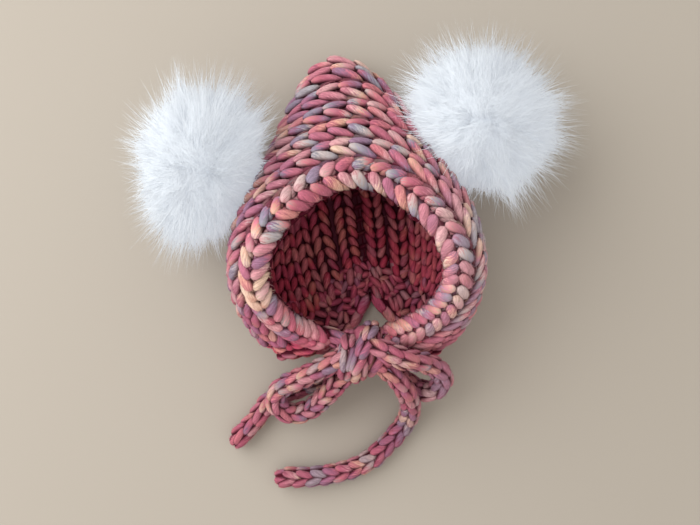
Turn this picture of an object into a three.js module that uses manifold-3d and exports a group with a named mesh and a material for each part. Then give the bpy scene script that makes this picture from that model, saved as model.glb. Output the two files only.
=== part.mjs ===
// A baby's knitted pixie bonnet that lies on its back, face opening up: a ribbed hood sewn up the back
// to a peak, a braided band round the face, two knitted ties in a bow and two fur pompoms.
// Millimetres. +Z is up, +Y points to the peak and the origin is on the flat of the back, on the table.
import * as THREE from "three";
import { mergeVertices } from "three/addons/utils/BufferGeometryUtils.js";
import Module from "manifold-3d";

const wasm = await Module();
wasm.setup();

// Driving sizes
const HOOD_WIDTH = 150; // across the belly of the hood
const HOOD_LENGTH = 190; // from the peak to the neck edge as it lies
const HOOD_DEPTH = 84; // from the back's fabric up to the face band's
const WALL = 9; // ribbed fabric of very thick yarn
const RIB_RELIEF = 1.5; // how far a rib stands out of the fabric
const RIB_COUNT = 8; // ribs from the face band to the back seam
const RIB_GATHER = 0.16; // how far the ribs draw together towards the back seam
const STEPS_PER_RIB = 4;
const ROW_STEPS = 40; // steps from neck edge to neck edge over the peak, an even number
const BAND_WIDTH = 17; // the face band, across its braid
const BAND_THICKNESS = 12;
const NECK_STEPS = 3; // row steps at each end that are the neck band
const TIE_DIAMETER = 14; // knitted cord
const TIE_SIDES = 10;
const KNOT_SIZE = [25, 36, 27];
const CLEARANCE = 0.35; // between pieces that touch
const POMPOM_CORE = 0.74; // the close fur at a pompom's heart, as a share of its reach
const LOCK_COUNT = 32;
const LOCK_RADIUS = 15; // of a lock of fur at its root

const POMPOM_LEFT_REACH = [47, 58, 47]; // how far the fur reaches from a pompom's centre
const POMPOM_RIGHT_REACH = [53, 57, 47];

// The pompoms' centres as shares of HOOD_WIDTH, HOOD_LENGTH and HOOD_DEPTH.
const POMPOMS = [
  { name: "pompom_left", place: [-0.633, 0.295, 0.583], reach: POMPOM_LEFT_REACH },
  { name: "pompom_right", place: [0.513, 0.453, 0.583], reach: POMPOM_RIGHT_REACH },
];

const KNOT_CENTRE = [5, -53, 47];

// The lines of the tie beyond the hood, from where each part leaves the knot.
const TIE_LINES = {
  loop_left: [
    [-3, -55, 55],
    [-19, -64, 47],
    [-36, -73, 37],
    [-48, -80, 29],
    [-52, -89, 25],
    [-43, -97, 20],
    [-31, -95, 20],
    [-18, -83, 31],
    [-6, -68, 43],
  ],
  loop_right: [
    [12, -51, 60],
    [29, -58, 60],
    [44, -63, 51],
    [54, -73, 40],
    [49, -84, 32],
    [37, -82, 34],
    [25, -73, 41],
    [13, -62, 45],
  ],
  tail_left: [
    [-1, -64, 33],
    [-16, -73, 20],
    [-36, -82, 9],
    [-56, -91, 7.3],
    [-65, -102, 7.3],
    [-72, -110, 7.3],
    [-80, -119, 7.3],
  ],
  tail_right: [
    [9, -64, 35],
    [22, -70, 23],
    [32, -85, 10],
    [33, -99, 7.3],
    [28, -111, 7.3],
    [19, -121, 7.3],
    [9, -130, 7.3],
    [-7, -137, 7.3],
    [-26, -140.5, 7.3],
    [-52, -141.5, 7.3],
  ],
};

// The rings that the hood is lofted through, from the face edge to the back seam. "at" is the share of the
// way back. Widths are shares of HOOD_WIDTH, top and neck of HOOD_LENGTH along Y, and heights of HOOD_DEPTH.
// The pinch draws a ring in towards its top. The end angle is where it stops at the neck and the twist turns
// it on the table, both in degrees.
const RING_COLUMNS = [
  "at", "halfWidth", "pinch", "top", "neck", "end", "twist", "topRise", "sideRise", "neckRise",
];
const RINGS = [
  [0.0, 0.385, 0.38, 0.235, -0.232, 166, 0, 0.96, 1.0, 0.5],
  [0.12, 0.455, 0.3, 0.3, -0.26, 158, 0, 0.93, 0.96, 0.5],
  [0.28, 0.495, 0.22, 0.385, -0.28, 144, 1, 0.76, 0.72, 0.4],
  [0.5, 0.455, 0.15, 0.51, -0.29, 138, 3, 0.5, 0.36, 0.22],
  [0.8, 0.265, 0.05, 0.67, -0.25, 146, 8, 0.15, 0.01, 0.01],
  [1.0, 0.0, 0.0, 0.585, -0.105, 180, 8, 0.0, 0.0, 0.0],
].map((row) => Object.fromEntries(row.map((value, i) => [RING_COLUMNS[i], value])));

// The fabric's middle lies this high where the back rests, so that a rib and the dip beside it both lie flat.
const SEAT_HEIGHT = WALL / 2 - RIB_RELIEF;

const radians = THREE.MathUtils.degToRad;

// A point of one ring at an angle from its top, where negative angles are on the left.
function ringPoint(ring, angle) {
  const end = Math.cos(radians(ring.end));
  const halfLength = ((ring.top - ring.neck) * HOOD_LENGTH) / (1 - end);
  const middle = ring.top * HOOD_LENGTH - halfLength;
  const flat = new THREE.Vector2(
    ring.halfWidth * HOOD_WIDTH * Math.sin(angle) * (1 - ring.pinch * ((1 + Math.cos(angle)) / 2) ** 2),
    halfLength * Math.cos(angle),
  ).rotateAround(new THREE.Vector2(0, 0), radians(ring.twist));
  const turn = 1 - Math.cos(angle);
  const last = 1 - end;
  const rise =
    (ring.topRise * (turn - 1) * (turn - last)) / last +
    (ring.sideRise * turn * (turn - last)) / (1 - last) +
    (ring.neckRise * turn * (turn - 1)) / (last * (last - 1));
  return new THREE.Vector3(flat.x, middle + flat.y, SEAT_HEIGHT + rise * HOOD_DEPTH);
}

// Each ring as points that lie evenly along it.
const RING_STEPS = 240;
const ringLines = RINGS.map((ring) => {
  const line = [];
  for (let i = 0; i <= RING_STEPS; i++)
    line.push(ringPoint(ring, radians(ring.end) * ((2 * i) / RING_STEPS - 1)));
  const along = [0];
  for (let i = 1; i <= RING_STEPS; i++) along.push(along[i - 1] + line[i].distanceTo(line[i - 1]));
  return { line, along };
});

// The point at a share of a ring's length, from the left neck edge at -1 over the top at 0 to the right at 1.
function evenPoint({ line, along }, u) {
  const wanted = ((u + 1) / 2) * along[RING_STEPS];
  let i = 1;
  while (i < RING_STEPS && along[i] < wanted) i++;
  return line[i - 1].clone().lerp(line[i], (wanted - along[i - 1]) / (along[i] - along[i - 1]));
}

// The middle of the fabric at u round the face and v from the face edge to the back seam.
const ringPointsAt = new Map();
function fabric(u, v) {
  if (!ringPointsAt.has(u)) ringPointsAt.set(u, ringLines.map((ring) => evenPoint(ring, u)));
  const points = ringPointsAt.get(u);
  const last = RINGS.length - 1;
  let k = 0;
  while (k < last - 1 && v > RINGS[k + 1].at) k++;
  const slope = (i) => {
    const a = Math.max(i - 1, 0);
    const b = Math.min(i + 1, last);
    return points[b].clone().sub(points[a]).divideScalar(RINGS[b].at - RINGS[a].at);
  };
  const span = RINGS[k + 1].at - RINGS[k].at;
  const t = (v - RINGS[k].at) / span;
  return new THREE.Vector3()
    .addScaledVector(points[k], 2 * t ** 3 - 3 * t ** 2 + 1)
    .addScaledVector(slope(k), (t ** 3 - 2 * t ** 2 + t) * span)
    .addScaledVector(points[k + 1], 3 * t ** 2 - 2 * t ** 3)
    .addScaledVector(slope(k + 1), (t ** 3 - t ** 2) * span);
}

// The fabric's directions at a point: along the ribs, towards the seam and out of the hood.
function fabricFrame(u, v) {
  const step = 0.004;
  const u0 = Math.max(u - step, -1);
  const u1 = Math.min(u + step, 1);
  const v0 = Math.max(v - step, 0);
  const v1 = Math.min(v + step, 1);
  const along = fabric(u1, v).sub(fabric(u0, v)).normalize();
  const back = fabric(u, v1).sub(fabric(u, v0)).normalize();
  const out = along.clone().cross(back).normalize();
  return { along, back, out };
}

// Where the hood's fabric starts, behind the face band.
const depthAtTop = ringLines.slice(1).reduce((sum, ring, k) => {
  return sum + evenPoint(ring, 0).distanceTo(evenPoint(ringLines[k], 0));
}, 0);
const BAND_SHARE = BAND_WIDTH / depthAtTop;

// A closed solid as a manifold, and back.
function solidOf(geometry) {
  const bare = geometry.clone();
  bare.deleteAttribute("normal");
  bare.deleteAttribute("uv");
  const merged = mergeVertices(bare, 1e-3);
  return new wasm.Manifold(
    new wasm.Mesh({
      numProp: 3,
      vertProperties: merged.attributes.position.array,
      triVerts: new Uint32Array(merged.index.array),
    }),
  );
}

function geometryOf(solid) {
  const mesh = solid.getMesh();
  const geometry = new THREE.BufferGeometry();
  geometry.setAttribute("position", new THREE.BufferAttribute(mesh.vertProperties, 3));
  geometry.setIndex(new THREE.BufferAttribute(mesh.triVerts, 1));
  return geometry;
}

function largestPiece(solid) {
  return solid.decompose().reduce((a, b) => (a.volume() > b.volume() ? a : b));
}

// A geometry from rows of points, where each quad is given by its corners.
class Skin {
  points = [];
  faces = [];

  row(points) {
    const first = this.points.length;
    this.points.push(...points);
    return points.map((_, i) => first + i);
  }

  quad(a, b, c, d) {
    this.faces.push(a, b, c, a, c, d);
  }

  strip(rowA, rowB) {
    for (let i = 0; i + 1 < rowA.length; i++) this.quad(rowA[i], rowB[i], rowB[i + 1], rowA[i + 1]);
  }

  solid() {
    const geometry = new THREE.BufferGeometry().setFromPoints(this.points);
    geometry.setIndex(this.faces);
    return solidOf(geometry);
  }
}

// The fabric between the first and the last row of each range, as one closed body. A section gives, for each
// place v, how far out and in the faces lie. Ranges that reach v = 1 are sewn together there.
function fabricBody(ranges, section, endGap = 0) {
  const skin = new Skin();
  const end = section.length - 1;
  for (const [first, last] of ranges) {
    const outer = [];
    const inner = [];
    for (let i = first; i <= last; i++) {
      const u = (2 * i - ROW_STEPS) / ROW_STEPS;
      const atStart = i === first && first > 0;
      const atEnd = i === last && last < ROW_STEPS;
      const gap = atStart ? endGap : atEnd ? -endGap : 0;
      const outside = [];
      const inside = [];
      for (const { v, out, into, back = 0 } of section) {
        const onSeam = v === 1;
        const side = onSeam ? -Math.abs(u) : u;
        const frame = fabricFrame(side, v);
        const way = onSeam ? new THREE.Vector3(0, 0, -1) : frame.out;
        const middle = fabric(side, v);
        middle.addScaledVector(frame.along, onSeam ? -Math.abs(gap) : gap).addScaledVector(frame.back, back);
        const face = middle.clone().addScaledVector(way, out);
        face.z = Math.max(face.z, 0);
        outside.push(face);
        inside.push(middle.clone().addScaledVector(way, -into));
      }
      outer.push(skin.row(outside));
      inner.push(skin.row(inside));
    }
    for (let i = 0; i < last - first; i++) {
      skin.strip(outer[i], outer[i + 1]);
      skin.strip(inner[i + 1], inner[i]);
      skin.quad(inner[i][0], inner[i + 1][0], outer[i + 1][0], outer[i][0]);
      if (section[end].v < 1) skin.quad(inner[i][end], outer[i][end], outer[i + 1][end], inner[i + 1][end]);
    }
    skin.strip(inner[0], outer[0]);
    const a = inner[last - first];
    const b = outer[last - first];
    for (let j = 0; j < end; j++) skin.quad(a[j], a[j + 1], b[j + 1], b[j]);
  }
  return skin.solid();
}

// Ribs stand out on the outside, and on the inside between them.
function ribbed(clearance = 0) {
  const steps = RIB_COUNT * STEPS_PER_RIB;
  return Array.from({ length: steps + 1 }, (_, j) => {
    const rib = -RIB_RELIEF * Math.cos((2 * Math.PI * j) / STEPS_PER_RIB);
    const way = j / steps;
    return {
      v: BAND_SHARE + (1 - BAND_SHARE) * way * (1 + RIB_GATHER * (1 - way ** 3)),
      out: WALL / 2 + rib + clearance,
      into: WALL / 2 - rib + clearance,
    };
  });
}

// The hood between the neck bands.
const HOOD_ROWS = [[NECK_STEPS, ROW_STEPS - NECK_STEPS]];
const NECK_ROWS = [
  [0, NECK_STEPS],
  [ROW_STEPS - NECK_STEPS, ROW_STEPS],
];
const BAND_ROWS = [[0, ROW_STEPS]];
const hood = fabricBody(HOOD_ROWS, ribbed());

// The face band is rounded at the face and flat behind, where the hood starts.
const BAND_PROFILE = [
  { share: 0, part: 0.35 },
  { share: 0.1, part: 0.75 },
  { share: 0.3, part: 1 },
  { share: 0.7, part: 1 },
  { share: 0.9, part: 0.85 },
  { share: 1, part: 0.7 },
];
const bandSection = BAND_PROFILE.map(({ share, part }) => ({
  v: BAND_SHARE * share,
  out: (BAND_THICKNESS / 2) * part,
  into: (BAND_THICKNESS / 2) * part,
  back: share === 1 ? -CLEARANCE : 0,
}));
const wholeBand = fabricBody(BAND_ROWS, bandSection);

// The knot of the bow: a lump that the ties run into.
function ellipsoid(centre, size, across, up) {
  const geometry = new THREE.SphereGeometry(0.5, across, up);
  geometry.scale(...size).translate(...centre);
  return geometry;
}
const knot = solidOf(ellipsoid(KNOT_CENTRE, KNOT_SIZE, 16, 10));
const knotSpace = solidOf(ellipsoid(KNOT_CENTRE, KNOT_SIZE.map((x) => x + 2 * CLEARANCE), 16, 10));

// A knitted cord along a line of points.
function tube(points, clearance = 0) {
  const path = new THREE.CatmullRomCurve3(points.map((p) => new THREE.Vector3(...p)), false, "centripetal");
  const section = new THREE.Shape();
  for (let i = 0; i < TIE_SIDES; i++) {
    const angle = (2 * Math.PI * i) / TIE_SIDES;
    const x = (TIE_DIAMETER / 2 + clearance) * Math.cos(angle);
    const y = (TIE_DIAMETER / 2 + clearance) * Math.sin(angle);
    if (i) section.lineTo(x, y);
    else section.moveTo(x, y);
  }
  const steps = Math.ceil(path.getLength() / (TIE_DIAMETER / 2));
  return new THREE.ExtrudeGeometry(section, { steps, extrudePath: path, curveSegments: 1 });
}

// A pompom: close fur at its heart and locks of long fur all round, with the hood cut out of it.
function pompom({ place, reach }) {
  const centre = [place[0] * HOOD_WIDTH, place[1] * HOOD_LENGTH, place[2] * HOOD_DEPTH];
  let fur = solidOf(ellipsoid(centre, reach.map((r) => 2 * r * POMPOM_CORE), 18, 12));
  for (let i = 0; i < LOCK_COUNT; i++) {
    const height = 1 - (2 * i + 1) / LOCK_COUNT;
    const turn = i * Math.PI * (3 - Math.sqrt(5));
    const flat = Math.sqrt(1 - height * height);
    const way = new THREE.Vector3(flat * Math.cos(turn), flat * Math.sin(turn), height);
    const tip = way.clone().multiply(new THREE.Vector3(...reach));
    const length = tip.length();
    const lock = new THREE.ConeGeometry(LOCK_RADIUS, length * 0.5, 5, 1);
    lock.translate(0, length * 0.75, 0);
    lock.applyQuaternion(
      new THREE.Quaternion().setFromUnitVectors(new THREE.Vector3(0, 1, 0), tip.clone().normalize()),
    );
    lock.translate(...centre);
    fur = fur.add(solidOf(lock));
  }
  return fur;
}

const hoodSpace = fabricBody(HOOD_ROWS, ribbed(CLEARANCE));
const bandSpace = fabricBody(
  BAND_ROWS,
  bandSection.map((s) => ({ ...s, out: s.out + CLEARANCE, into: s.into + CLEARANCE })),
);

// The neck band closes the hood's lower ends and is sewn together where the back seam ends.
const neckSection = (clearance = 0) =>
  ribbed().map(({ v }) => ({ v, out: WALL / 2 + clearance, into: WALL / 2 + clearance }));
const neckBand = fabricBody(NECK_ROWS, neckSection(), CLEARANCE);
const neckSpace = fabricBody(NECK_ROWS, neckSection(CLEARANCE));

const solids = {
  hood,
  neck_band: neckBand,
  face_band: wholeBand.subtract(knotSpace),
  bow_knot: knot,
};
for (const [name, points] of Object.entries(TIE_LINES)) {
  let tie = solidOf(tube(points)).subtract(knotSpace).subtract(bandSpace).subtract(neckSpace);
  if (name.startsWith("loop")) {
    const tail = TIE_LINES[name.replace("loop", "tail")];
    tie = tie.subtract(solidOf(tube(tail, CLEARANCE)));
  }
  solids[name] = largestPiece(tie);
}
for (const one of POMPOMS) {
  solids[one.name] = largestPiece(pompom(one).subtract(hoodSpace).subtract(bandSpace));
}

const FINISHES = {
  hood: 0xc07d88,
  neck_band: 0xb0566c,
  face_band: 0xcf8f8f,
  bow_knot: 0xc57682,
  loop_left: 0xc67885,
  loop_right: 0xc06c7c,
  tail_left: 0xc4707f,
  tail_right: 0xb98591,
  pompom_left: 0xf1f1f3,
  pompom_right: 0xf1f1f3,
};

const model = new THREE.Group();
for (const [name, solid] of Object.entries(solids)) {
  const material = new THREE.MeshStandardMaterial({ color: FINISHES[name], roughness: 0.92, metalness: 0 });
  const mesh = new THREE.Mesh(geometryOf(solid), material);
  mesh.name = name;
  model.add(mesh);
}
export default model;
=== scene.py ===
# Knitted pixie bonnet with fur pompoms and tied cords, seen from straight above as it lies on its back.
# Lengths are in millimetres in the tables and functions, and turn into metres where a mesh is made.
import math

import bpy
import numpy as np
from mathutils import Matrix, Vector


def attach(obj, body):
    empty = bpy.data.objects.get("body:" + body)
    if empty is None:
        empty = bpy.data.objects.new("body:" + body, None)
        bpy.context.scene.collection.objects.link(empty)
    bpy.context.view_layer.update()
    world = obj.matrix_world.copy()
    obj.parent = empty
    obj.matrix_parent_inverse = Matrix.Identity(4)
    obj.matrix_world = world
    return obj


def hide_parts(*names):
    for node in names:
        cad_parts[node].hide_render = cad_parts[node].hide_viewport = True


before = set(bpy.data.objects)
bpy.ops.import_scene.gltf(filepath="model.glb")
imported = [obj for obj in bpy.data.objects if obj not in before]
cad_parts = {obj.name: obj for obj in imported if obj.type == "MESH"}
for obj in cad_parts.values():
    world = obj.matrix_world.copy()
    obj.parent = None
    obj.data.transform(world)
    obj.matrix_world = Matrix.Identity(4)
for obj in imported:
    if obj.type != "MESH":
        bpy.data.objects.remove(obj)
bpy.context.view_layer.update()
rng = np.random.default_rng(7)
fuzz_rng = np.random.default_rng(19)
MM = 0.001

# Sizes shared with the part
HOOD_WIDTH = 150
HOOD_LENGTH = 190
HOOD_DEPTH = 84  # how high the face edge rises over the seat
WALL = 9
RIB_RELIEF = 1.5
RIB_COUNT = 8
BAND_WIDTH = 17
BAND_THICKNESS = 12
NECK_SHARE = 6 / 40  # of the way round the face, at each end
RIB_GATHER = 0.16
KNOT_CENTRE = (5, -53, 47)
SEAT_HEIGHT = WALL / 2 - RIB_RELIEF
TABLE_GAP = 0.2  # between the yarn and the table

# The rings that the fabric follows from the face edge to the back seam: at, half width, pinch, top, neck, end and
# twist in degrees, and the rises of the top, the sides and the neck
RINGS = [
    (0.0, 0.385, 0.38, 0.235, -0.232, 166, 0, 0.96, 1.0, 0.5),
    (0.12, 0.455, 0.3, 0.3, -0.26, 158, 0, 0.93, 0.96, 0.5),
    (0.28, 0.495, 0.22, 0.385, -0.28, 144, 1, 0.76, 0.72, 0.4),
    (0.5, 0.455, 0.15, 0.51, -0.29, 138, 3, 0.5, 0.36, 0.22),
    (0.8, 0.265, 0.05, 0.67, -0.25, 146, 8, 0.15, 0.01, 0.01),
    (1.0, 0.0, 0.0, 0.585, -0.105, 180, 8, 0.0, 0.0, 0.0),
]
RING_AT = np.array([ring[0] for ring in RINGS])
RING_POINTS = 241

POMPOMS = {
    "pompom_left": ((-95, 56, 49), (50, 58, 47)),
    "pompom_right": ((77, 86, 49), (53, 57, 47)),
}
# How far the crown of each leans, and how much longer its hair is towards +X and +Y
POMPOM_LEANS = {"pompom_left": ((8, -3), (0.06, -0.01)), "pompom_right": ((-4, -9), (-0.04, -0.05))}

# The centre line of each stretch of the tie, from the knot. The right tail lies over its loop's return.
TIE_LINES = {
    "loop_left": [
        (-3, -55, 55), (-19, -64, 47), (-36, -73, 37), (-48, -80, 29), (-52, -89, 25),
        (-43, -97, 20), (-31, -95, 20), (-18, -83, 31), (-6, -68, 43),
    ],
    "loop_right": [
        (12, -51, 60), (29, -58, 60), (44, -62, 50), (54, -71, 39), (49, -81, 30),
        (38, -80, 25), (27, -72, 29), (14, -62, 38),
    ],
    "tail_left": [
        (-1, -64, 33), (-16, -73, 20), (-36, -82, 9), (-56, -91, 7.3), (-65, -102, 7.3),
        (-72, -110, 7.3), (-80, -119, 7.3),
    ],
    "tail_right": [
        (8, -58, 51), (21, -67, 49), (31, -80, 39), (35, -94, 20), (33, -104, 8.5), (28, -111, 7.3),
        (19, -121, 7.3), (9, -130, 7.3), (-7, -137, 7.3), (-26, -140.5, 7.3), (-52, -141.5, 7.3),
    ],
}


def ring_line(ring):
    """Points that follow one ring from the left neck edge over the top to the right one, and their distances."""
    _, half_width, pinch, top, neck, end, twist, top_rise, side_rise, neck_rise = ring
    angle = np.radians(end) * np.linspace(-1, 1, RING_POINTS)
    last = 1 - math.cos(math.radians(end))
    half_length = (top - neck) * HOOD_LENGTH / last
    x = half_width * HOOD_WIDTH * np.sin(angle) * (1 - pinch * ((1 + np.cos(angle)) / 2) ** 2)
    y = half_length * np.cos(angle)
    c, s = math.cos(math.radians(twist)), math.sin(math.radians(twist))
    turn = 1 - np.cos(angle)
    rise = (
        top_rise * (turn - 1) * (turn - last) / last
        + side_rise * turn * (turn - last) / (1 - last)
        + neck_rise * turn * (turn - 1) / (last * (last - 1))
    )
    middle = top * HOOD_LENGTH - half_length
    line = np.stack([c * x - s * y, middle + s * x + c * y, SEAT_HEIGHT + rise * HOOD_DEPTH], 1)
    along = np.concatenate([[0], np.cumsum(np.linalg.norm(np.diff(line, axis=0), axis=1))])
    return line, along


RING_LINES = [ring_line(ring) for ring in RINGS]


def fabric(u, v):
    """The middle of the fabric at u round the face, from -1 to 1, and v from the face edge to the back seam."""
    u, v = np.broadcast_arrays(np.asarray(u, float), np.asarray(v, float))
    points = []
    for line, along in RING_LINES:
        at = (np.clip(u, -1, 1) + 1) / 2 * along[-1]
        points.append(np.stack([np.interp(at, along, line[:, k]) for k in range(3)], -1))
    points = np.stack(points)
    last = len(RINGS) - 1
    slopes = np.empty_like(points)
    for i in range(last + 1):
        a, b = max(i - 1, 0), min(i + 1, last)
        slopes[i] = (points[b] - points[a]) / (RING_AT[b] - RING_AT[a])
    k = np.clip(np.searchsorted(RING_AT, v, side="left") - 1, 0, last - 1)

    def pick(table, i):
        return np.take_along_axis(table, i[None, ..., None], 0)[0]

    span = (RING_AT[k + 1] - RING_AT[k])[..., None]
    t = (v - RING_AT[k])[..., None] / span
    return (
        pick(points, k) * (2 * t**3 - 3 * t**2 + 1)
        + pick(slopes, k) * (t**3 - 2 * t**2 + t) * span
        + pick(points, k + 1) * (3 * t**2 - 2 * t**3)
        + pick(slopes, k + 1) * (t**3 - t**2) * span
    )


def unit(a):
    return a / np.maximum(np.linalg.norm(a, axis=-1, keepdims=True), 1e-9)


def fabric_frame(u, v):
    """Directions along the ribs, towards the seam and out of the hood, and the millimetres in one u and one v."""
    step = 0.004
    u0, u1 = np.clip(u - step, -1, 1), np.clip(u + step, -1, 1)
    v0, v1 = np.clip(v - step, 0, 1), np.clip(v + step, 0, 1)
    along = fabric(u1, v) - fabric(u0, v)
    back = fabric(u, v1) - fabric(u, v0)
    per_u = np.linalg.norm(along, axis=-1) / (u1 - u0)
    per_v = np.linalg.norm(back, axis=-1) / (v1 - v0)
    along, back = unit(along), unit(back)
    return along, back, unit(np.cross(along, back)), per_u, per_v


def ring_top(line, along):
    return np.array([np.interp(along[-1] / 2, along, line[:, k]) for k in range(3)])


TOPS = [ring_top(line, along) for line, along in RING_LINES]
DEPTH_AT_TOP = sum(np.linalg.norm(b - a) for a, b in zip(TOPS[:-1], TOPS[1:]))
BAND_SHARE = BAND_WIDTH / DEPTH_AT_TOP  # of the way from the face edge to the seam


# Meshes


def mesh_object(name, verts, faces, attributes=()):
    """One object from numpy arrays in millimetres. Faces is a list of arrays, one for each corner count."""
    mesh = bpy.data.meshes.new(name)
    mesh.vertices.add(len(verts))
    mesh.vertices.foreach_set("co", (np.asarray(verts, np.float32) * MM).ravel())
    loops = np.concatenate([f.ravel() for f in faces]).astype(np.int32)
    counts = np.concatenate([np.full(len(f), f.shape[1]) for f in faces]).astype(np.int32)
    mesh.loops.add(len(loops))
    mesh.loops.foreach_set("vertex_index", loops)
    mesh.polygons.add(len(counts))
    starts = np.concatenate([[0], np.cumsum(counts)[:-1]]).astype(np.int32)
    mesh.polygons.foreach_set("loop_start", starts)
    mesh.polygons.foreach_set("loop_total", counts)
    mesh.update(calc_edges=True)
    for label, kind, values in attributes:
        data = mesh.attributes.new(label, kind, "POINT").data
        field = "vector" if kind == "FLOAT_VECTOR" else "value"
        data.foreach_set(field, np.asarray(values, np.float32).ravel())
    mesh.polygons.foreach_set("use_smooth", np.ones(len(counts), bool))
    mesh.update()
    obj = bpy.data.objects.new(name, mesh)
    bpy.context.scene.collection.objects.link(obj)
    return obj


# Yarn

YARN_TWIST = 0.2  # radians in each millimetre
PATTERN_RADIUS = 3.2  # where the fibres' pattern is read, round the yarn's middle
TUCK_SHADE_FROM = 0.62  # the share of a leg past which it lies under the next stitch, and painted shade darkens it
START_SHADE_SHARE = 0.12  # the share of a leg that its own V covers at the start, which painted shade darkens a little
# Loose fibres: half their width, their length and its spread, the shortest one, and how much they lean
FUZZ_WIDTH = 0.08
FUZZ_LENGTH = 1.9
FUZZ_SPREAD = 0.7
FUZZ_SHORTEST = 0.6
FUZZ_LEAN = 0.6


class Strands:
    """Plump lengths of yarn gathered for one mesh. Each is a spine with a width, and rounded at both ends."""

    def __init__(self, sides=8):
        self.sides = sides
        self.parts = []

    def add(self, spines, ups, radii, dye, flat=0.86, tuck=0.9, shade=0.0):
        """Spines and ups are (count, steps, 3), radii (count, steps) and dye the yarn's length at each start.
        Tuck is how much painted shade darkens the far end, where it hides under the next stitch, and shade is the
        painted shade over the whole strand, where it lies deep."""
        count, steps, _ = spines.shape
        tangent = unit(np.gradient(spines, axis=1))
        side = unit(np.cross(tangent, ups))
        up = np.cross(side, tangent)
        along = np.concatenate(
            [np.zeros((count, 1)), np.cumsum(np.linalg.norm(np.diff(spines, axis=1), axis=2), 1)], 1
        )
        angle = np.linspace(0, 2 * math.pi, self.sides, endpoint=False)
        ring = (
            side[:, :, None] * np.cos(angle)[None, None, :, None]
            + flat * up[:, :, None] * np.sin(angle)[None, None, :, None]
        )
        verts = spines[:, :, None] + ring * radii[:, :, None, None]
        verts[..., 2] = np.maximum(verts[..., 2], TABLE_GAP)
        twist = angle[None, None] + along[:, :, None] * YARN_TWIST + dye[:, None, None]
        fibre = np.stack(
            [
                PATTERN_RADIUS * np.cos(twist),
                PATTERN_RADIUS * np.sin(twist),
                np.broadcast_to((along + dye[:, None])[:, :, None], twist.shape),
            ],
            -1,
        )
        share = np.linspace(0, 1, steps)[None, :, None]
        # Painted shade: a share that is high on a strand's top and low on its flanks, at its tucked end, at the
        # start under its own V and on strands that lie deep; the material turns the low end into a dark red.
        painted_cover_shade = tuck * np.clip((share - TUCK_SHADE_FROM) / (1 - TUCK_SHADE_FROM), 0, 1) ** 1.5
        painted_cover_shade = painted_cover_shade + 0.25 * np.clip(START_SHADE_SHARE - share, 0, 1) / START_SHADE_SHARE
        painted_light = np.broadcast_to(np.sin(angle)[None, None] - painted_cover_shade - shade, twist.shape)
        away = np.broadcast_to(ring, verts.shape)
        self.parts.append((verts, fibre, painted_light, away))

    def build(self, name, fuzz=0, longest=3.4):
        """The strands as one mesh, with a number of loose single fibres that stand off them."""
        verts, fibres, painted_lights, ways, quads, caps, first = [], [], [], [], [], [], 0
        n = self.sides
        for v, fibre, painted_light, away in self.parts:
            count, steps = v.shape[:2]
            index = first + np.arange(count * steps * n).reshape(count, steps, n)
            nxt = np.roll(index, -1, 2)
            quads.append(np.stack([index[:, :-1], nxt[:, :-1], nxt[:, 1:], index[:, 1:]], -1).reshape(-1, 4))
            caps.append(index[:, 0, ::-1].reshape(-1, n))
            caps.append(index[:, -1].reshape(-1, n))
            verts.append(v.reshape(-1, 3))
            fibres.append(fibre.reshape(-1, 3))
            painted_lights.append(painted_light.reshape(-1))
            ways.append(away.reshape(-1, 3))
            first += count * steps * n
        verts, fibres, painted_lights = np.concatenate(verts), np.concatenate(fibres), np.concatenate(painted_lights)
        faces = [np.concatenate(quads), np.concatenate(caps)]
        if fuzz:
            root = fuzz_rng.choice(np.flatnonzero(painted_lights > 0.1), fuzz)
            way = unit(unit(np.concatenate(ways)[root]) + fuzz_rng.normal(0, FUZZ_LEAN, (fuzz, 3)))
            side = FUZZ_WIDTH * unit(np.cross(way, fuzz_rng.normal(size=(fuzz, 3))))
            length = np.clip(fuzz_rng.normal(FUZZ_LENGTH, FUZZ_SPREAD, (fuzz, 1)), FUZZ_SHORTEST, longest)
            tip = verts[root] + way * length
            hairs = np.stack([verts[root] - side, verts[root] + side, tip], 1).reshape(-1, 3)
            hairs[:, 2] = np.maximum(hairs[:, 2], TABLE_GAP)
            faces.append(len(verts) + np.arange(3 * fuzz).reshape(-1, 3))
            verts = np.concatenate([verts, hairs])
            fibres = np.concatenate([fibres, np.repeat(fibres[root], 3, 0)])
            painted_lights = np.concatenate([painted_lights, np.full(3 * fuzz, 0.95)])
        return mesh_object(name, verts, faces, [("fibre", "FLOAT_VECTOR", fibres), ("painted_light", "FLOAT", painted_lights)])


# Stitches on the fabric

LEG = np.linspace(0, 1, 10)
# A leg of a stitch is a leaf: round where the stitches' points meet, and thin at the end that is tucked away.
LEG_RADIUS = np.array([0.5, 0.87, 0.98, 1.02, 1.02, 1.0, 0.95, 0.86, 0.7, 0.42])


def uneven(rows, spread):
    """One small random number for each stitch, as a column."""
    return rng.normal(0, spread, (len(rows), 1))


# How far a leg sinks from its start to the end that is tucked away goes with this power of the way along it.
SINK = 1.3


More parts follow.
